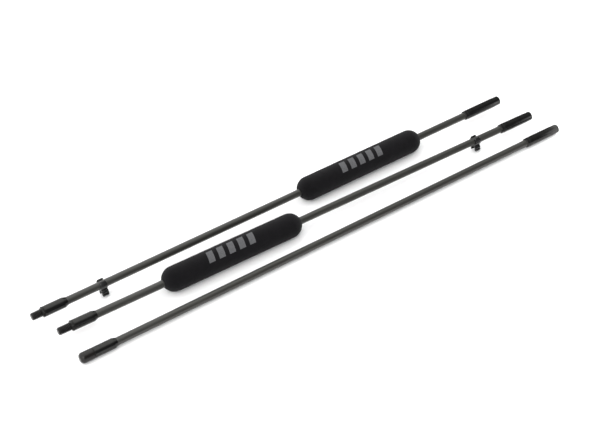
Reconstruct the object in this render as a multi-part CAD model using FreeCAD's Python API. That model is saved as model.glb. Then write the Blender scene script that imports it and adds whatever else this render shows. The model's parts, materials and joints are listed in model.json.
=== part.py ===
import FreeCAD, Part
import math
import os

# Three-section boom pole, taken apart, with its sections lying side by side.
# Every section is built along +x in its own frame: x = 0 is the end face of its ferrule, the stud
# points to -x and the socket barrel ends the section at +x. The sections are then laid out
# with the middle one along the row's X axis, and the origin under the middle of the footprint.

# ---- driving dimensions, in millimetres and degrees ----

SECTIONS = ("rear", "middle", "front")
SECTIONS_WITH_GRIP = ("rear", "middle")

TUBE_RADIUS = 4.55
TUBE_WALL = 1.0
OPEN_TUBE = {"rear": 579.3, "middle": 581.8, "front": 595.3}  # length between the end fittings
GLUE_GAP = 0.02

FERRULE_RADIUS = 6.15
FERRULE_LENGTH = 24.2
FERRULE_TAPER = 4.0
FERRULE_NOSE = 8.0  # solid nose that the stud is screwed into
EDGE_CHAMFER = 0.4
TAPER_END_WALL = 0.25

COLLAR_RADIUS = 5.9
COLLAR_TAPER = 1.0
COLLAR_LENGTH = 4.3  # taper included
BARREL_LENGTH = {"rear": 55.1, "middle": 47.5, "front": 50.3}
BARREL_TUBE_DEPTH = 20.0
MOUTH_LENGTH = 9.0  # slightly reduced end of the barrel
MOUTH_RADIUS = 5.95
MOUTH_CHAMFER = 0.7

THREAD_RADIUS = 4.7625  # 3/8 in - 16, at the joints and on the tip
THREAD_PITCH = 25.4 / 16
THREAD_DEPTH = 0.8
LAND_END = 0.35  # in pitches, from the start of a turn: the end of its land
GROOVE_START = 0.55
GROOVE_END = 0.8
STUD_REACH = {"rear": 15.0, "middle": 18.0}
STUD_CHAMFER = 1.6
NECK_RADIUS = 4.2  # thread relief under the lock ring
SHANK_RADIUS = 3.6  # the stud's length inside the ferrule

TIP_STUD_REACH = 12.6

INSERT_RADIUS = 5.4
INSERT_LENGTH = 20.0
INSERT_RECESS = 1.5
SOCKET_MINOR_RADIUS = 4.0
SOCKET_MAJOR_RADIUS = 4.82
SOCKET_LEAD_IN = 0.8

LOCK_RING_RADIUS = 6.25
LOCK_RING_WIDTH = 2.4
LOCK_RING_TEETH = 30
LOCK_RING_TOOTH_DEPTH = 0.25
RUNNING_GAP = 0.05
SEAT_GAP = 0.1  # between a ring or cap and the ferrule's end face

CAP_LENGTH = 16.5
CAP_RIM_RADIUS = 6.2
CAP_BULGE_RADIUS = 6.4
CAP_EDGE = 4.4  # rounding of the closed end
CAP_END_WALL = 2.2

GRIP_RADIUS = 15.1
GRIP_LENGTH = 185.5
GRIP_NOSE = 15.0  # length of each rounded end
GRIP_NOSE_DROP = 10.0  # how far a rounded end falls to its flat face
GRIP_CENTRE = {"rear": 451.5, "middle": 223.0}  # from the stud's tip

CLIP_CENTRE = {"rear": 87.4, "middle": 587.4}  # from the stud's tip
CLIP_WIDTH = 8.0
CLIP_WALL = 1.5
CLIP_WEB = 4.4
CLIP_TILT = {"rear": 18.0, "middle": 12.0}  # swings the cable jaw towards -Y
POLE_JAW_HALF_MOUTH = 38.0
POLE_LIP_LENGTH = 1.6
POLE_LIP_FLARE = 50.0
CABLE_JAW_RADIUS = 3.0
CABLE_JAW_DROP = 9.15  # from the tube's axis to the cable's
CABLE_JAW_HALF_MOUTH = 55.0
CABLE_LIP_LENGTH = 2.4
CABLE_LIP_FLARE = 70.0
LIP_CORNER = 1.2

# Where each section's middle lies against the middle section's, and how far it is turned.
LAYOUT = {
    "rear": {"x": -13.95, "y": 42.2, "turn": 1.09},
    "middle": {"x": 0.0, "y": 0.0, "turn": 0.0},
    "front": {"x": 12.0, "y": -36.34, "turn": 0.75},
}

# ---- sizes that follow ----

TUBE_SEAT = TUBE_RADIUS + GLUE_GAP
TUBE_START = FERRULE_NOSE + GLUE_GAP
FERRULE_END = FERRULE_LENGTH + FERRULE_TAPER
LEAD = dict(STUD_REACH, front=SEAT_GAP + CAP_LENGTH)  # how far a section reaches past its ferrule
AXIS_HEIGHT = {"rear": GRIP_RADIUS, "middle": GRIP_RADIUS, "front": CAP_BULGE_RADIUS}
COLLAR_START = {name: FERRULE_END + OPEN_TUBE[name] for name in SECTIONS}
BARREL_START = {name: COLLAR_START[name] + COLLAR_LENGTH + GLUE_GAP for name in SECTIONS}
SECTION_END = {name: BARREL_START[name] + BARREL_LENGTH[name] for name in SECTIONS}
SECTION_MIDDLE = {name: (SECTION_END[name] - LEAD[name]) / 2 for name in SECTIONS}

X_AXIS = FreeCAD.Vector(1, 0, 0)
Z_AXIS = FreeCAD.Vector(0, 0, 1)
ORIGIN = FreeCAD.Vector(0, 0, 0)


# ---- shape helpers ----

def flat_face(start, *steps):
    """A face in the x-y plane. A step is an (x, y) point, or (middle, end) for an arc."""
    edges = []
    here = FreeCAD.Vector(start[0], start[1], 0)
    for step in steps + (start,):
        if isinstance(step[0], tuple):
            middle = FreeCAD.Vector(step[0][0], step[0][1], 0)
            end = FreeCAD.Vector(step[1][0], step[1][1], 0)
            edges.append(Part.Arc(here, middle, end).toShape())
        else:
            end = FreeCAD.Vector(step[0], step[1], 0)
            edges.append(Part.LineSegment(here, end).toShape())
        here = end
    return Part.Face(Part.Wire(edges))


def turned(start, *steps):
    """Revolve a closed outline about x. Its points are (x, r)."""
    return flat_face(start, *steps).revolve(ORIGIN, X_AXIS, 360)


def thread_points(start, end, pitch, land, groove):
    """Outline points of a thread from start to end: flat lands at one radius, grooves at the other."""
    turns = int(abs(end - start) / pitch)
    step = math.copysign(pitch, end - start)
    points = []
    for turn in range(turns):
        x = start + turn * step
        points += [(x, land), (x + LAND_END * step, land)]
        points += [(x + GROOVE_START * step, groove), (x + GROOVE_END * step, groove)]
    return points + [(start + turns * step, land), (end, land)]


def quarter_arc(centre, radius, from_angle):
    """The middle and end points of a quarter circle that starts at from_angle and runs clockwise."""
    points = []
    for angle in (from_angle - 45, from_angle - 90):
        along = radius * math.cos(math.radians(angle))
        out = radius * math.sin(math.radians(angle))
        points.append((centre[0] + along, centre[1] + out))
    return tuple(points)


def lip(start, length, direction):
    """A clip's flat lip with rounded corners, from (y, z) along direction, in degrees from +z."""
    half = CLIP_WIDTH / 2
    side = length - LIP_CORNER
    outline = flat_face(
        (-half, 0), (-half, side), quarter_arc((LIP_CORNER - half, side), LIP_CORNER, 180),
        (half - LIP_CORNER, length), quarter_arc((half - LIP_CORNER, side), LIP_CORNER, 90), (half, 0))
    plate = outline.extrude(Z_AXIS * CLIP_WALL)
    plate.translate(Z_AXIS * (-CLIP_WALL / 2))
    plate.rotate(ORIGIN, X_AXIS, 90 - direction)
    plate.translate(FreeCAD.Vector(0, start[0], start[1]))
    return plate


def open_jaw(inner, half_mouth, mouth_direction):
    """A ring about x with a wedge-shaped mouth cut out of it, centred on mouth_direction from +z."""
    outer = inner + CLIP_WALL
    end = FreeCAD.Vector(-CLIP_WIDTH / 2, 0, 0)
    ring = Part.makeCylinder(outer, CLIP_WIDTH, end, X_AXIS)
    hole = Part.makeCylinder(inner, CLIP_WIDTH, end, X_AXIS)
    reach = 2 * outer
    side = reach * math.tan(math.radians(half_mouth))
    corners = [(0, 0), (-side, reach), (side, reach), (0, 0)]
    wedge_face = Part.Face(Part.makePolygon([FreeCAD.Vector(end.x, y, z) for y, z in corners]))
    wedge = wedge_face.extrude(X_AXIS * CLIP_WIDTH)
    wedge.rotate(ORIGIN, X_AXIS, -mouth_direction)
    return ring.cut(hole).cut(wedge)


# ---- the pieces of one section, in the section's own frame ----

def make_tube(name):
    end = BARREL_START[name] + BARREL_TUBE_DEPTH
    inner = TUBE_RADIUS - TUBE_WALL
    return turned((TUBE_START, inner), (TUBE_START, TUBE_RADIUS), (end, TUBE_RADIUS), (end, inner))


def make_ferrule():
    stud_seat = SHANK_RADIUS + GLUE_GAP
    return turned(
        (0, stud_seat), (0, FERRULE_RADIUS - EDGE_CHAMFER), (EDGE_CHAMFER, FERRULE_RADIUS),
        (FERRULE_LENGTH, FERRULE_RADIUS), (FERRULE_END, TUBE_SEAT + TAPER_END_WALL),
        (FERRULE_END, TUBE_SEAT), (FERRULE_NOSE, TUBE_SEAT), (FERRULE_NOSE, stud_seat))


def make_joint_stud(name):
    """The stud that screws into the next section's socket, with a relieved neck in the lock ring."""
    tip = -STUD_REACH[name]
    root = THREAD_RADIUS - THREAD_DEPTH
    neck_start = -SEAT_GAP - LOCK_RING_WIDTH
    threads = thread_points(
        tip + STUD_CHAMFER, neck_start, THREAD_PITCH, THREAD_RADIUS, root)
    return turned(
        (tip, 0), (tip, root - EDGE_CHAMFER), *threads, (neck_start, NECK_RADIUS), (0, NECK_RADIUS),
        (0, SHANK_RADIUS), (FERRULE_NOSE, SHANK_RADIUS), (FERRULE_NOSE, 0))


def make_tip_stud():
    """The microphone-mount thread, with a shank that is fixed in the ferrule."""
    tip = -TIP_STUD_REACH
    root = THREAD_RADIUS - THREAD_DEPTH
    threads = thread_points(
        tip + STUD_CHAMFER, -GLUE_GAP, THREAD_PITCH, THREAD_RADIUS, root)
    return turned(
        (tip, 0), (tip, root - EDGE_CHAMFER), *threads, (-GLUE_GAP, SHANK_RADIUS),
        (FERRULE_NOSE, SHANK_RADIUS), (FERRULE_NOSE, 0))


def make_collar(name):
    start = COLLAR_START[name]
    end = start + COLLAR_LENGTH
    return turned(
        (start, TUBE_SEAT), (start, TUBE_SEAT + TAPER_END_WALL), (start + COLLAR_TAPER, COLLAR_RADIUS),
        (end, COLLAR_RADIUS), (end, TUBE_SEAT))


def make_barrel(name):
    """Socket sleeve: the tube is glued in one end and the threaded insert pressed into the other."""
    start = BARREL_START[name]
    end = SECTION_END[name]
    tube_stop = start + BARREL_TUBE_DEPTH
    insert_stop = end - INSERT_RECESS - INSERT_LENGTH - GLUE_GAP
    insert_seat = INSERT_RADIUS + GLUE_GAP
    bore = TUBE_RADIUS - TUBE_WALL
    return turned(
        (start, TUBE_SEAT), (start, FERRULE_RADIUS - EDGE_CHAMFER),
        (start + EDGE_CHAMFER, FERRULE_RADIUS), (end - MOUTH_LENGTH, FERRULE_RADIUS),
        (end - MOUTH_LENGTH, MOUTH_RADIUS), (end - MOUTH_CHAMFER, MOUTH_RADIUS),
        (end, MOUTH_RADIUS - MOUTH_CHAMFER / 2), (end, insert_seat), (insert_stop, insert_seat),
        (insert_stop, bore), (tube_stop + GLUE_GAP, bore), (tube_stop + GLUE_GAP, TUBE_SEAT))


def make_insert(name):
    """Brass insert with the female thread."""
    mouth = SECTION_END[name] - INSERT_RECESS
    back = mouth - INSERT_LENGTH
    threads = thread_points(
        mouth - SOCKET_LEAD_IN, back, THREAD_PITCH, SOCKET_MINOR_RADIUS, SOCKET_MAJOR_RADIUS)
    return turned((back, INSERT_RADIUS), (mouth, INSERT_RADIUS), (mouth, SOCKET_MAJOR_RADIUS), *threads)


def make_lock_ring():
    """Knurled ring nut that runs on the joint stud, against the ferrule's end face."""
    points = []
    for index in range(2 * LOCK_RING_TEETH):
        radius = LOCK_RING_RADIUS - LOCK_RING_TOOTH_DEPTH * (index % 2)
        angle = math.pi * index / LOCK_RING_TEETH
        points.append(FreeCAD.Vector(0, radius * math.cos(angle), radius * math.sin(angle)))
    knurled = Part.Face(Part.makePolygon(points + points[:1])).extrude(X_AXIS * -LOCK_RING_WIDTH)
    inner = THREAD_RADIUS + RUNNING_GAP
    rim = LOCK_RING_RADIUS - EDGE_CHAMFER
    ring = turned(
        (0, inner), (0, rim), (-EDGE_CHAMFER, LOCK_RING_RADIUS),
        (EDGE_CHAMFER - LOCK_RING_WIDTH, LOCK_RING_RADIUS), (-LOCK_RING_WIDTH, rim),
        (-LOCK_RING_WIDTH, inner))
    ring = ring.common(knurled)
    ring.translate(X_AXIS * -SEAT_GAP)
    return ring


def make_cap():
    """Rounded protective cap, a push fit on the tip thread."""
    rim = -SEAT_GAP
    closed_end = rim - CAP_LENGTH
    face = CAP_BULGE_RADIUS - CAP_EDGE
    inner = THREAD_RADIUS + RUNNING_GAP
    floor = closed_end + CAP_END_WALL
    return turned(
        (closed_end, 0), (closed_end, face), quarter_arc((closed_end + CAP_EDGE, face), CAP_EDGE, 180),
        (rim - EDGE_CHAMFER, CAP_RIM_RADIUS), (rim, CAP_RIM_RADIUS - EDGE_CHAMFER),
        (rim, inner), (floor, inner), (floor, 0))


def make_grip(name):
    """Foam sleeve whose ends are rounded by an arc that is tangent to its side."""
    start = GRIP_CENTRE[name] - LEAD[name] - GRIP_LENGTH / 2
    end = start + GRIP_LENGTH
    face = GRIP_RADIUS - GRIP_NOSE_DROP
    arc_radius = (GRIP_NOSE ** 2 + GRIP_NOSE_DROP ** 2) / (2 * GRIP_NOSE_DROP)
    half_turn = math.asin(GRIP_NOSE / arc_radius) / 2
    mid_in = GRIP_NOSE - arc_radius * math.sin(half_turn)
    mid_radius = GRIP_RADIUS - arc_radius * (1 - math.cos(half_turn))
    return turned(
        (start, TUBE_SEAT), (start, face),
        ((start + mid_in, mid_radius), (start + GRIP_NOSE, GRIP_RADIUS)),
        (end - GRIP_NOSE, GRIP_RADIUS), ((end - mid_in, mid_radius), (end, face)),
        (end, TUBE_SEAT))


def make_clip(name):
    """Double clip: a jaw that snaps on the tube, and under it a smaller flared jaw for the cable."""
    inner = TUBE_RADIUS + RUNNING_GAP
    clip = open_jaw(inner, POLE_JAW_HALF_MOUTH, 0)
    cable_jaw = open_jaw(CABLE_JAW_RADIUS, CABLE_JAW_HALF_MOUTH, 180)
    cable_jaw.translate(Z_AXIS * -CABLE_JAW_DROP)
    half_wall = CLIP_WALL / 2
    web_top = -inner - half_wall
    web_bottom = CABLE_JAW_RADIUS + half_wall - CABLE_JAW_DROP
    web = Part.makeBox(
        CLIP_WIDTH, CLIP_WEB, web_top - web_bottom,
        FreeCAD.Vector(-CLIP_WIDTH / 2, -CLIP_WEB / 2, web_bottom))
    pieces = [cable_jaw, web]
    for side in (-1, 1):
        pole_angle = math.radians(POLE_JAW_HALF_MOUTH)
        pole_mid = inner + half_wall
        pole_edge = (side * pole_mid * math.sin(pole_angle), pole_mid * math.cos(pole_angle))
        pieces.append(lip(pole_edge, POLE_LIP_LENGTH, side * POLE_LIP_FLARE))
        cable_angle = math.radians(CABLE_JAW_HALF_MOUTH)
        cable_mid = CABLE_JAW_RADIUS + half_wall
        cable_edge = (
            side * cable_mid * math.sin(cable_angle),
            -CABLE_JAW_DROP - cable_mid * math.cos(cable_angle))
        pieces.append(lip(cable_edge, CABLE_LIP_LENGTH, side * (180 - CABLE_LIP_FLARE)))
    clip = clip.multiFuse(pieces).removeSplitter()
    clip.rotate(ORIGIN, X_AXIS, -CLIP_TILT[name])
    clip.translate(X_AXIS * (CLIP_CENTRE[name] - LEAD[name]))
    return clip


# ---- layout and export ----

def section_pieces(name):
    """Every piece of a section, in the section's own frame."""
    pieces = {
        "tube": make_tube(name),
        "ferrule": make_ferrule(),
        "collar": make_collar(name),
        "barrel": make_barrel(name),
        "insert": make_insert(name),
    }
    if name in SECTIONS_WITH_GRIP:
        pieces["stud"] = make_joint_stud(name)
        pieces["lock_ring"] = make_lock_ring()
        pieces["grip"] = make_grip(name)
        pieces["cable_clip"] = make_clip(name)
    else:
        pieces["tip_stud"] = make_tip_stud()
        pieces["tip_cap"] = make_cap()
    return {name + "_" + piece: shape for piece, shape in pieces.items()}


def section_placement(name):
    """From a section's own frame to the layout, with the middle section's centre over the origin."""
    spot = LAYOUT[name]
    turn = FreeCAD.Placement(
        FreeCAD.Vector(spot["x"], spot["y"], AXIS_HEIGHT[name]),
        FreeCAD.Rotation(Z_AXIS, spot["turn"]))
    centre = FreeCAD.Placement(X_AXIS * -SECTION_MIDDLE[name], FreeCAD.Rotation())
    return turn.multiply(centre)


def build():
    """All nodes in the row's frame, and the shift that put the origin under the footprint's middle."""
    nodes = {}
    for name in SECTIONS:
        placement = section_placement(name)
        for node, shape in section_pieces(name).items():
            solid = shape.Solids[0]
            solid.Placement = placement.multiply(solid.Placement)
            nodes[node] = solid
    box = Part.makeCompound(list(nodes.values())).optimalBoundingBox()
    shift = FreeCAD.Vector(-box.Center.x, -box.Center.y, 0)
    for shape in nodes.values():
        shape.translate(shift)
    return nodes, shift


def main():
    os.makedirs("parts", exist_ok=True)
    nodes, shift = build()
    for node, shape in nodes.items():
        shape.exportStep("parts/" + node + ".step")
    box = Part.makeCompound(list(nodes.values())).optimalBoundingBox()
    print("nodes", len(nodes), "shift", round(shift.x, 3), round(shift.y, 3))
    print("box", [round(v, 3) for v in (box.XMin, box.YMin, box.ZMin, box.XMax, box.YMax, box.ZMax)])


main()
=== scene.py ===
import json
import math

import bmesh
import bpy
from mathutils import Matrix, Vector, noise


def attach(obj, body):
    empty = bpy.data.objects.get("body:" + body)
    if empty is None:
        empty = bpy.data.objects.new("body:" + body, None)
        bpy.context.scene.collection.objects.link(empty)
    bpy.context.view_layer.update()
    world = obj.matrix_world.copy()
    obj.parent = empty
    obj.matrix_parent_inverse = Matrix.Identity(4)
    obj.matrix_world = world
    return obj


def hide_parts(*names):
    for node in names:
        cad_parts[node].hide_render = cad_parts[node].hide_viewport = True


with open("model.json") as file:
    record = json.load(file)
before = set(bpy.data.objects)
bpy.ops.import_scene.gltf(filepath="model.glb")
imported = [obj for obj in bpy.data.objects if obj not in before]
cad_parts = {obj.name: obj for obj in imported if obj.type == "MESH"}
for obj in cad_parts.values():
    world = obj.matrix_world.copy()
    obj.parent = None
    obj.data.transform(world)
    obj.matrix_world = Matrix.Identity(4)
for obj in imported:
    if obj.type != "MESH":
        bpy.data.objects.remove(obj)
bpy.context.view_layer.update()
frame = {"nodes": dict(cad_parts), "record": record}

# The looks of a three-section boom pole. Sizes are in metres and angles in degrees, and places come
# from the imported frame.

# ---- driving values ----

SECTIONS = ("rear", "middle", "front")
SECTIONS_WITH_GRIP = ("rear", "middle")

THREAD_PITCH = 0.0254 / 16
THREAD_DEPTH = 0.0008
THREAD_STEPS = 12  # rings of the mesh per turn of a thread
THREAD_SIDES = 64
CREST_SHARE = 0.125  # the flat crest's part of the pitch
ROOT_SHARE = 0.25
TIP_CHAMFER = 0.0016
TIP_CHAMFER_DROP = 0.0004
NECK_RADIUS = 0.0042
SHANK_RADIUS = 0.0036
SOCKET_RADIUS = 0.004
SOCKET_LEAD_IN = 0.0008
SHARP_ANGLE = 35.0  # edges that turn by more stay sharp

GRIP_NOSE = 0.015
GRIP_NOSE_DROP = 0.01
GRIP_NOSE_STEPS = 16
GRIP_RING_STEP = 0.0009
GRIP_SIDES = 144
BORE_EDGE = 0.0006
FOAM_UNEVENNESS = 0.00012
FOAM_UNEVEN_SCALE = 0.006
FOAM_CELL_RELIEF = 0.00005
FOAM_CELL_SCALE = 0.0014

MARK_BARS = 5
MARK_BAR_LENGTH = 0.008
MARK_STEP = 0.0136  # from one bar to the next
MARK_ANGLE = 72.0  # up from the side that faces the front
MARK_HALF_ANGLE = 28.0
MARK_LEAN = 0.0025
MARK_SHIFT = {"rear": -0.0019, "middle": -0.0050}  # from the grip's middle
MARK_LIFT = 0.0001
MARK_SKIRT = 0.0006
MARK_COLUMNS = 10
MARK_ROWS = 24

CLIP_ROUNDING = 0.00045
CLIP_ROUNDING_STEPS = 3
CLIP_ROUNDED_ANGLE = 40.0  # edges that turn by more are rounded
CLIP_SHARP_ANGLE = 50.0  # and after that, edges that turn by more stay sharp
SAME_POINT = 0.000001
SAME_PLANE = 1.0  # degrees between faces that count as one

NOISE_LOW = 0.3  # most of a noise's values lie between these
NOISE_HIGH = 0.7

CAMERA_AZIMUTH = -33.78
CAMERA_ELEVATION = 43.0
CAMERA_DISTANCE = 1.4318
CAMERA_TARGET = (-0.02775, 0.001, 0.01648)
CAMERA_LENS = 73.2  # millimetres, as the sensor's width
CAMERA_SENSOR = 36.0

FLOOR_SIZE = 12.0
TENT_STRENGTH = 2.1
DARK_SIDE = 0.22  # the strength where the tent is dark
TENT_FRONT = (0.58, -0.68, 0.45)  # towards the tent's dark front
TENT_FRONT_FADE = (0.62, 0.9)  # a direction's parts along it, where light turns to dark
TENT_RIGHT = (1, 0, 0)  # towards a dark gap beside the front
TENT_GAP_START = (0.40, 0.54)  # a direction's parts along it, where light turns to dark
TENT_GAP_END = (0.62, 0.70)  # and where dark turns back to light
KEY_PLACE = (-0.8, -1.1, 1.7)
KEY_TARGET = (0, 0, 0)
KEY_SIZE = (1.2, 1.2)
KEY_POWER = 11.0  # watts
END_CARD_PLACE = (0.385, -0.05, 0.028)  # past the front barrel's end, to show in it as a grey reflection
END_CARD_TARGET = (0.3, -0.05, 0.028)
END_CARD_SIZE = (0.10, 0.056)
END_CARD_POWER = 0.045


# ---- where things are ----

MOUNTS = {mount["name"]: mount for mount in frame["record"]["mounts"]}


def section_axis(section):
    """A point on a section's axis, and its direction from the stud towards the socket."""
    socket = MOUNTS[section + "_socket"]
    return Vector(socket["pos_m"]), Vector(socket["axis"]).normalized()


def section_matrix(section):
    """From (along, side, up) about a section's axis to the frame. along is 0 at the ferrule's end face."""
    point, along = section_axis(section)
    start = min((v.co - point).dot(along) for v in frame["nodes"][section + "_ferrule"].data.vertices)
    up = Vector((0, 0, 1))
    turn = Matrix((along, up.cross(along), up)).transposed().to_4x4()
    return Matrix.Translation(point + along * start) @ turn


AXES = {section: section_matrix(section) for section in SECTIONS}


def span(section, piece):
    """Start, end and outer radius of a CAD node about its section's axis."""
    back = AXES[section].inverted()
    points = [back @ v.co for v in frame["nodes"][section + "_" + piece].data.vertices]
    along = [p.x for p in points]
    return min(along), max(along), max(math.hypot(p.y, p.z) for p in points)


# ---- materials ----

def new_material(name):
    """A material with its nodes, its links and its shader."""
    material = bpy.data.materials.new(name)
    material.use_nodes = True
    nodes = material.node_tree.nodes
    return material, nodes, material.node_tree.links, nodes["Principled BSDF"]


def node(nodes, kind, **values):
    """A new node of a kind, with its own settings."""
    made = nodes.new(kind)
    for key, value in values.items():
        setattr(made, key, value)
    return made


def set_inputs(shader, **values):
    """Set the shader's sockets, each named with underscores for spaces."""
    for key, value in values.items():
        shader.inputs[key.replace("_", " ")].default_value = value


def local_coordinates(nodes, links, section):
    """Object coordinates turned to (along, side, up) about a section's axis."""
    coordinates = node(nodes, "ShaderNodeTexCoord")
    mapping = node(nodes, "ShaderNodeMapping", vector_type="TEXTURE")
    mapping.inputs["Location"].default_value = AXES[section].translation
    mapping.inputs["Rotation"].default_value = AXES[section].to_euler()
    links.new(coordinates.outputs["Object"], mapping.inputs["Vector"])
    return mapping.outputs["Vector"]


def noise_texture(nodes, links, vector, scale, detail, stretch=(1, 1, 1)):
    """Noise with lumps of about 1/scale metres, and 1/stretch times as long along each axis."""
    mapping = node(nodes, "ShaderNodeMapping")
    mapping.inputs["Scale"].default_value = stretch
    links.new(vector, mapping.inputs["Vector"])
    texture = node(nodes, "ShaderNodeTexNoise")
    texture.inputs["Scale"].default_value = scale
    texture.inputs["Detail"].default_value = detail
    links.new(mapping.outputs["Vector"], texture.inputs["Vector"])
    return texture.outputs["Fac"]


def ramp(nodes, links, value, low, high):
    """Colours from low to high as a noise's value rises."""
    made = node(nodes, "ShaderNodeValToRGB")
    made.color_ramp.elements[0].position = NOISE_LOW
    made.color_ramp.elements[0].color = (*low, 1)
    made.color_ramp.elements[1].position = NOISE_HIGH
    made.color_ramp.elements[1].color = (*high, 1)
    links.new(value, made.inputs["Fac"])
    return made.outputs["Color"]


def spread(nodes, links, value, low, high):
    """Numbers from low to high as value goes from 0 to 1."""
    made = node(nodes, "ShaderNodeMapRange")
    made.inputs["To Min"].default_value = low
    made.inputs["To Max"].default_value = high
    links.new(value, made.inputs["Value"])
    return made.outputs["Result"]


def bump(nodes, links, height, shader, distance, strength):
    """Let height push the shader's normal about, as relief that is distance deep."""
    made = node(nodes, "ShaderNodeBump")
    made.inputs["Distance"].default_value = distance
    made.inputs["Strength"].default_value = strength
    links.new(height, made.inputs["Height"])
    links.new(made.outputs["Normal"], shader.inputs["Normal"])


def carbon_material(section):
    """Satin carbon-fibre tube, with fine fibre streaks along it."""
    material, nodes, links, shader = new_material(section + "_carbon")
    where = local_coordinates(nodes, links, section)
    fibres = noise_texture(nodes, links, where, scale=900.0, detail=4.0, stretch=(0.03, 1, 1))
    colour = ramp(nodes, links, fibres, low=(0.010, 0.010, 0.0075), high=(0.018, 0.0178, 0.0145))
    links.new(colour, shader.inputs["Base Color"])
    links.new(spread(nodes, links, fibres, low=0.30, high=0.42), shader.inputs["Roughness"])
    bump(nodes, links, fibres, shader, distance=0.00003, strength=0.5)
    set_inputs(shader, Specular_IOR_Level=0.6)
    return material


def anodised_material(section, name, low, high, roughness):
    """Dark anodised aluminium, turned on a lathe: fine rings round the axis."""
    material, nodes, links, shader = new_material(section + "_" + name)
    where = local_coordinates(nodes, links, section)
    rings = noise_texture(nodes, links, where, scale=4000.0, detail=2.0, stretch=(1, 0.02, 0.02))
    clouds = noise_texture(nodes, links, where, scale=160.0, detail=3.0)
    links.new(ramp(nodes, links, clouds, low, high), shader.inputs["Base Color"])
    varied = spread(nodes, links, rings, low=roughness - 0.05, high=roughness + 0.05)
    links.new(varied, shader.inputs["Roughness"])
    bump(nodes, links, rings, shader, distance=0.00002, strength=0.3)
    set_inputs(shader, Metallic=1.0)
    return material


def steel_material():
    """Blackened steel with a slightly cloudy shine."""
    material, nodes, links, shader = new_material("black_steel")
    where = node(nodes, "ShaderNodeTexCoord").outputs["Object"]
    clouds = noise_texture(nodes, links, where, scale=900.0, detail=4.0)
    colour = ramp(nodes, links, clouds, low=(0.022, 0.022, 0.022), high=(0.045, 0.044, 0.043))
    links.new(colour, shader.inputs["Base Color"])
    links.new(spread(nodes, links, clouds, low=0.28, high=0.48), shader.inputs["Roughness"])
    bump(nodes, links, clouds, shader, distance=0.00002, strength=0.4)
    set_inputs(shader, Metallic=1.0)
    return material


def brass_material():
    """Plain brass with a slightly cloudy shine."""
    material, nodes, links, shader = new_material("brass")
    where = node(nodes, "ShaderNodeTexCoord").outputs["Object"]
    clouds = noise_texture(nodes, links, where, scale=500.0, detail=4.0)
    colour = ramp(nodes, links, clouds, low=(0.42, 0.27, 0.09), high=(0.60, 0.42, 0.17))
    links.new(colour, shader.inputs["Base Color"])
    links.new(spread(nodes, links, clouds, low=0.25, high=0.45), shader.inputs["Roughness"])
    set_inputs(shader, Metallic=1.0)
    return material


def foam_material():
    """Closed-cell foam: matte black with small open pores and a dusty bloom."""
    material, nodes, links, shader = new_material("black_foam")
    where = node(nodes, "ShaderNodeTexCoord").outputs["Object"]
    cells = node(nodes, "ShaderNodeTexVoronoi")
    cells.inputs["Scale"].default_value = 1400.0
    links.new(where, cells.inputs["Vector"])
    patches = noise_texture(nodes, links, where, scale=120.0, detail=4.0)
    colour = ramp(nodes, links, patches, low=(0.0014, 0.0012, 0.0017), high=(0.0034, 0.0030, 0.0039))
    links.new(colour, shader.inputs["Base Color"])
    links.new(spread(nodes, links, patches, low=0.88, high=1.0), shader.inputs["Roughness"])
    bump(nodes, links, cells.outputs["Distance"], shader, distance=0.0002, strength=0.7)
    set_inputs(shader, Sheen_Weight=0.045, Sheen_Roughness=0.6, Specular_IOR_Level=0.1)
    return material


def print_material():
    """Grey ink printed on the foam, thin enough to let the pores through."""
    material, nodes, links, shader = new_material("grey_print")
    where = node(nodes, "ShaderNodeTexCoord").outputs["Object"]
    wear = noise_texture(nodes, links, where, scale=900.0, detail=4.0)
    colour = ramp(nodes, links, wear, low=(0.050, 0.050, 0.053), high=(0.085, 0.086, 0.090))
    links.new(colour, shader.inputs["Base Color"])
    links.new(spread(nodes, links, wear, low=0.75, high=0.95), shader.inputs["Roughness"])
    bump(nodes, links, wear, shader, distance=0.0001, strength=0.6)
    return material


def plastic_material(name, low, high, roughness, relief, specular):
    """Moulded plastic or rubber with a fine grain."""
    material, nodes, links, shader = new_material(name)
    where = node(nodes, "ShaderNodeTexCoord").outputs["Object"]
    grain = noise_texture(nodes, links, where, scale=1800.0, detail=3.0)
    links.new(ramp(nodes, links, grain, low, high), shader.inputs["Base Color"])
    varied = spread(nodes, links, grain, low=roughness - 0.06, high=roughness + 0.06)
    links.new(varied, shader.inputs["Roughness"])
    bump(nodes, links, grain, shader, distance=relief, strength=0.5)
    set_inputs(shader, Specular_IOR_Level=specular)
    return material


def floor_material():
    """Matt white paper."""
    material, nodes, links, shader = new_material("white_floor")
    where = node(nodes, "ShaderNodeTexCoord").outputs["Object"]
    clouds = noise_texture(nodes, links, where, scale=2.0, detail=2.0)
    colour = ramp(nodes, links, clouds, low=(0.93, 0.93, 0.93), high=(0.95, 0.95, 0.95))
    links.new(colour, shader.inputs["Base Color"])
    set_inputs(shader, Roughness=0.9, Specular_IOR_Level=0.1)
    return material


# ---- mesh helpers ----

def mesh_object(name, vertices, faces, material):
    """A smooth mesh that keeps its sharp edges, with its faces turned outwards."""
    mesh = bpy.data.meshes.new(name)
    mesh.from_pydata(vertices, [], faces)
    shape = bmesh.new()
    shape.from_mesh(mesh)
    bmesh.ops.recalc_face_normals(shape, faces=shape.faces)
    return finished_object(name, mesh, shape, material, SHARP_ANGLE)


def finished_object(name, mesh, shape, material, sharp_angle):
    """A smooth object from a bmesh, which is freed. Edges that turn by more than sharp_angle stay sharp."""
    shape.to_mesh(mesh)
    shape.free()
    mesh.materials.append(material)
    mesh.shade_smooth()
    mesh.set_sharp_from_angle(angle=math.radians(sharp_angle))
    made = bpy.data.objects.new(name, mesh)
    bpy.context.scene.collection.objects.link(made)
    return made


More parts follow.
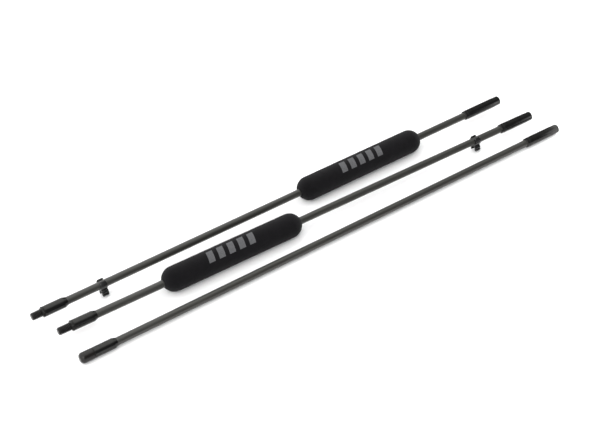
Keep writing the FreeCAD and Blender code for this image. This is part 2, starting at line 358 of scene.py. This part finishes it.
def grid_faces(rings, sides, closed=False):
    """Quads between rings of vertices; closed joins the last ring to the first."""
    faces = []
    for ring in range(rings if closed else rings - 1):
        below = ring * sides
        above = (ring + 1) % rings * sides
        for side in range(sides):
            after = (side + 1) % sides
            faces.append((below + side, above + side, above + after, below + after))
    return faces


def around_axis(section, along, out, angle):
    """A point out from a section's axis, at an angle that turns from its side to up."""
    return AXES[section] @ Vector((along, out * math.cos(angle), out * math.sin(angle)))


def ring_points(section, along, radius, sides):
    """A ring of points about a section's axis. radius is a number, or gives one for an angle."""
    points = []
    for side in range(sides):
        angle = 2 * math.pi * side / sides
        out = radius(angle) if callable(radius) else radius
        points.append(around_axis(section, along, out, angle))
    return points


def turned_object(name, section, rings, sides, material, hollow=False):
    """A shape turned about a section's axis from (along, radius) rings; hollow joins last to first."""
    vertices = []
    for along, radius in rings:
        vertices += ring_points(section, along, radius, sides)
    faces = grid_faces(len(rings), sides, closed=hollow)
    if not hollow:
        faces.append(tuple(range(sides)))
        faces.append(tuple(range(len(vertices) - sides, len(vertices))))
    return mesh_object(name, vertices, faces, material)


def place(piece, section, replaced=None, body=None):
    """Let a piece ride on its body, in place of a CAD node if it stands for one."""
    if replaced:
        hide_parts(section + "_" + replaced)
    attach(piece, body or section + "_section")


# ---- pieces ----

def thread_height(along, angle):
    """0 at the root and 1 at the crest of a right-hand thread."""
    phase = (along / THREAD_PITCH - angle / (2 * math.pi)) % 1
    from_crest = abs(2 * phase - 1)
    return min(max((1 - ROOT_SHARE - from_crest) / (1 - ROOT_SHARE - CREST_SHARE), 0), 1)


def thread_rings(start, end, radius_at):
    """Rings close enough together to draw the helix, from start to end."""
    count = math.ceil((end - start) / THREAD_PITCH * THREAD_STEPS)
    rings = []
    for index in range(count + 1):
        along = start + (end - start) * index / count
        rings.append((along, lambda angle, along=along: radius_at(along, angle)))
    return rings


def make_stud(section, piece, thread_end, material):
    """Threaded stud: chamfered tip, helix, relieved neck, and a shank in the ferrule."""
    start, end, crest = span(section, piece)
    root = crest - THREAD_DEPTH

    def radius_at(along, angle):
        tip_share = (along - start) / TIP_CHAMFER
        tip = root - TIP_CHAMFER_DROP + (THREAD_DEPTH + TIP_CHAMFER_DROP) * tip_share
        return min(root + THREAD_DEPTH * thread_height(along, angle), tip)

    rings = thread_rings(start, thread_end, radius_at)
    rings += [(thread_end, NECK_RADIUS), (0, NECK_RADIUS), (0, SHANK_RADIUS), (end, SHANK_RADIUS)]
    stud = turned_object(section + "_threaded_" + piece, section, rings, THREAD_SIDES, material)
    place(stud, section, replaced=piece)


def make_insert(section, material):
    """Brass insert with a helical female thread and a lead-in."""
    start, end, outside = span(section, "insert")

    def radius_at(along, angle):
        lead_in = SOCKET_RADIUS + THREAD_DEPTH * (1 - (end - along) / SOCKET_LEAD_IN)
        return max(SOCKET_RADIUS + THREAD_DEPTH * (1 - thread_height(along, angle)), lead_in)

    rings = thread_rings(start, end, radius_at) + [(end, outside), (start, outside)]
    insert = turned_object(section + "_threaded_insert", section, rings, THREAD_SIDES, material, hollow=True)
    place(insert, section, replaced="insert")


def grip_outline(start, end, radius, bore):
    """Points (along, radius) of a foam sleeve's section: out along one end, over, and back down."""
    arc_radius = (GRIP_NOSE ** 2 + GRIP_NOSE_DROP ** 2) / (2 * GRIP_NOSE_DROP)
    arc_turn = math.asin(GRIP_NOSE / arc_radius)
    nose = []
    for step in range(GRIP_NOSE_STEPS + 1):
        angle = arc_turn * (1 - step / GRIP_NOSE_STEPS)
        nose.append((GRIP_NOSE - arc_radius * math.sin(angle), radius - arc_radius * (1 - math.cos(angle))))
    outline = [(start + BORE_EDGE, bore), (start, bore + BORE_EDGE / 2)]
    outline += [(start + along, out) for along, out in nose]
    length = end - start - 2 * GRIP_NOSE
    count = int(length / GRIP_RING_STEP)
    outline += [(start + GRIP_NOSE + length * ring / count, radius) for ring in range(1, count)]
    outline += [(end - along, out) for along, out in reversed(nose)]
    return outline + [(end, bore + BORE_EDGE / 2), (end - BORE_EDGE, bore)]


def make_grip(section, material):
    """Foam hand grip with a slightly uneven skin."""
    start, end, radius = span(section, "grip")
    bore = span(section, "tube")[2]
    rings = []
    for along, out in grip_outline(start, end, radius, bore):
        def uneven(angle, along=along, out=out):
            spot = Vector((along, out * math.cos(angle), out * math.sin(angle)))
            lumps = noise.noise(spot / FOAM_UNEVEN_SCALE) * FOAM_UNEVENNESS
            cells = noise.noise(spot / FOAM_CELL_SCALE) * FOAM_CELL_RELIEF
            return out + lumps + cells - FOAM_UNEVENNESS
        rings.append((along, uneven if out > bore + BORE_EDGE else out))
    grip = turned_object(section + "_foam_grip", section, rings, GRIP_SIDES, material, hollow=True)
    place(grip, section, replaced="grip")


def mark_point(section, radius, bar_start, row, column):
    """A point of a bar's grid, whose outermost rows and columns fold down into the foam as a skirt."""
    row_share = min(max((row - 1) / (MARK_ROWS - 2), 0), 1)
    column_share = min(max((column - 1) / (MARK_COLUMNS - 2), 0), 1)
    angle = math.radians(180 - MARK_ANGLE + MARK_HALF_ANGLE * (1 - 2 * row_share))
    lean = MARK_LEAN * (row_share - 0.5)
    inside = 0 < row < MARK_ROWS and 0 < column < MARK_COLUMNS
    out = radius + (MARK_LIFT if inside else -MARK_SKIRT)
    return around_axis(section, bar_start + MARK_BAR_LENGTH * column_share + lean, out, angle)


def make_mark(section, material):
    """A row of slanted bars printed on the front of the grip, as plain decoration."""
    start, end, radius = span(section, "grip")
    middle = (start + end) / 2 + MARK_SHIFT[section]
    vertices = []
    faces = []
    for bar in range(MARK_BARS):
        bar_start = middle + (bar - (MARK_BARS - 1) / 2) * MARK_STEP - MARK_BAR_LENGTH / 2
        first = len(vertices)
        for row in range(MARK_ROWS + 1):
            for column in range(MARK_COLUMNS + 1):
                vertices.append(mark_point(section, radius, bar_start, row, column))
        for row in range(MARK_ROWS):
            for column in range(MARK_COLUMNS):
                corner = first + row * (MARK_COLUMNS + 1) + column
                above = corner + MARK_COLUMNS + 1
                faces.append((corner, corner + 1, above + 1, above))
    mark = mesh_object(section + "_grip_mark", vertices, faces, material)
    place(mark, section)


def make_clip(section, material):
    """The moulded clip: the CAD shape with its sharp edges rounded."""
    shape = bmesh.new()
    shape.from_mesh(frame["nodes"][section + "_cable_clip"].data)
    bmesh.ops.remove_doubles(shape, verts=shape.verts, dist=SAME_POINT)
    bmesh.ops.dissolve_limit(shape, angle_limit=math.radians(SAME_PLANE), verts=shape.verts,
                             edges=shape.edges)
    corners = [edge for edge in shape.edges
               if edge.is_manifold and edge.calc_face_angle() > math.radians(CLIP_ROUNDED_ANGLE)]
    bmesh.ops.bevel(shape, geom=corners, offset=CLIP_ROUNDING, segments=CLIP_ROUNDING_STEPS, profile=0.5,
                    affect="EDGES", clamp_overlap=True)
    name = section + "_rounded_clip"
    clip = finished_object(name, bpy.data.meshes.new(name), shape, material, CLIP_SHARP_ANGLE)
    place(clip, section, replaced="cable_clip", body=section + "_cable_clip_body")


def for_each_section(make_material, *arguments, **values):
    return {section: make_material(section, *arguments, **values) for section in SECTIONS}


def build():
    """Give every CAD node its material, then add the pieces that replace or join them."""
    carbon = for_each_section(carbon_material)
    anodised = for_each_section(anodised_material, "black_anodised", low=(0.030, 0.030, 0.029),
                                high=(0.040, 0.040, 0.039), roughness=0.21)
    grey = for_each_section(anodised_material, "grey_anodised", low=(0.026, 0.026, 0.025),
                            high=(0.034, 0.034, 0.033), roughness=0.22)
    steel = steel_material()
    brass = brass_material()
    foam = foam_material()
    plastic = plastic_material("clip_plastic", low=(0.004, 0.004, 0.004), high=(0.009, 0.009, 0.009),
                               roughness=0.24, relief=0.00002, specular=0.5)
    vinyl = plastic_material("cap_vinyl", low=(0.0034, 0.0026, 0.0021), high=(0.0060, 0.0048, 0.0040),
                             roughness=0.24, relief=0.00001, specular=0.32)
    finish = {"tube": carbon, "ferrule": anodised, "collar": grey, "barrel": anodised,
              "lock_ring": anodised}
    shared = {"stud": steel, "tip_stud": steel, "insert": brass, "cable_clip": plastic,
              "tip_cap": vinyl, "grip": foam}
    for name, item in frame["nodes"].items():
        section, piece = name.split("_", 1)
        material = finish[piece][section] if piece in finish else shared[piece]
        item.data.materials.clear()
        item.data.materials.append(material)
    ink = print_material()
    for section in SECTIONS:
        make_insert(section, brass)
    for section in SECTIONS_WITH_GRIP:
        make_stud(section, "stud", span(section, "lock_ring")[0], steel)
        make_grip(section, foam)
        make_mark(section, ink)
        make_clip(section, plastic)
    make_stud("front", "tip_stud", 0, steel)


def make_camera():
    """Look at the target from the camera's azimuth, which turns from -y towards +x, and elevation."""
    azimuth = math.radians(CAMERA_AZIMUTH)
    elevation = math.radians(CAMERA_ELEVATION)
    back = Vector((math.sin(azimuth) * math.cos(elevation),
                   -math.cos(azimuth) * math.cos(elevation), math.sin(elevation)))
    data = bpy.data.cameras.new("camera")
    data.lens = CAMERA_LENS
    data.sensor_width = CAMERA_SENSOR
    camera = bpy.data.objects.new("camera", data)
    camera.location = Vector(CAMERA_TARGET) + back * CAMERA_DISTANCE
    camera.rotation_mode = "QUATERNION"
    camera.rotation_quaternion = (-back).to_track_quat("-Z", "Y")
    bpy.context.scene.collection.objects.link(camera)
    bpy.context.scene.camera = camera


def area_light(name, location, target, size, power):
    """A rectangular lamp that lights the scene and shows in reflections, but not to the camera."""
    data = bpy.data.lights.new(name, "AREA")
    data.shape = "RECTANGLE"
    data.size, data.size_y = size
    data.energy = power
    light = bpy.data.objects.new(name, data)
    light.location = location
    light.rotation_mode = "QUATERNION"
    light.rotation_quaternion = (Vector(target) - Vector(location)).to_track_quat("-Z", "Y")
    light.visible_camera = False
    bpy.context.scene.collection.objects.link(light)


def fade(nodes, links, direction, towards, parts, before, after):
    """Goes smoothly from before to after, as the direction's part along towards goes through parts."""
    along = node(nodes, "ShaderNodeVectorMath", operation="DOT_PRODUCT")
    links.new(direction, along.inputs[0])
    along.inputs[1].default_value = Vector(towards).normalized()
    made = node(nodes, "ShaderNodeMapRange", interpolation_type="SMOOTHSTEP")
    made.inputs["From Min"].default_value = parts[0]
    made.inputs["From Max"].default_value = parts[1]
    made.inputs["To Min"].default_value = before
    made.inputs["To Max"].default_value = after
    links.new(along.outputs["Value"], made.inputs["Value"])
    return made.outputs["Result"]


def combined(nodes, links, operation, first, second):
    """One number from two, such as their minimum."""
    made = node(nodes, "ShaderNodeMath", operation=operation)
    links.new(first, made.inputs[0])
    links.new(second, made.inputs[1])
    return made.outputs["Value"]


def make_light_tent():
    """White all round and overhead, but dark at its open front and in a gap on its right."""
    world = bpy.data.worlds.new("light_tent")
    world.use_nodes = True
    nodes = world.node_tree.nodes
    links = world.node_tree.links
    direction = node(nodes, "ShaderNodeTexCoord").outputs["Generated"]
    front = fade(nodes, links, direction, TENT_FRONT, TENT_FRONT_FADE, TENT_STRENGTH, DARK_SIDE)
    gap_start = fade(nodes, links, direction, TENT_RIGHT, TENT_GAP_START, TENT_STRENGTH, DARK_SIDE)
    gap_end = fade(nodes, links, direction, TENT_RIGHT, TENT_GAP_END, DARK_SIDE, TENT_STRENGTH)
    gap = combined(nodes, links, "MAXIMUM", gap_start, gap_end)
    strength = combined(nodes, links, "MINIMUM", front, gap)
    nodes["Background"].inputs["Color"].default_value = (1, 1, 1, 1)
    links.new(strength, nodes["Background"].inputs["Strength"])
    bpy.context.scene.world = world


def make_studio():
    """A white floor, the light tent and the two lamps."""
    half = FLOOR_SIZE / 2
    corners = [(-half, -half, 0), (half, -half, 0), (half, half, 0), (-half, half, 0)]
    floor = mesh_object("floor", corners, [(0, 1, 2, 3)], floor_material())
    make_light_tent()
    area_light("front_key", KEY_PLACE, KEY_TARGET, KEY_SIZE, KEY_POWER)
    area_light("end_card", END_CARD_PLACE, END_CARD_TARGET, END_CARD_SIZE, END_CARD_POWER)
    bpy.context.scene.view_settings.view_transform = "Standard"


build()
make_camera()
make_studio()
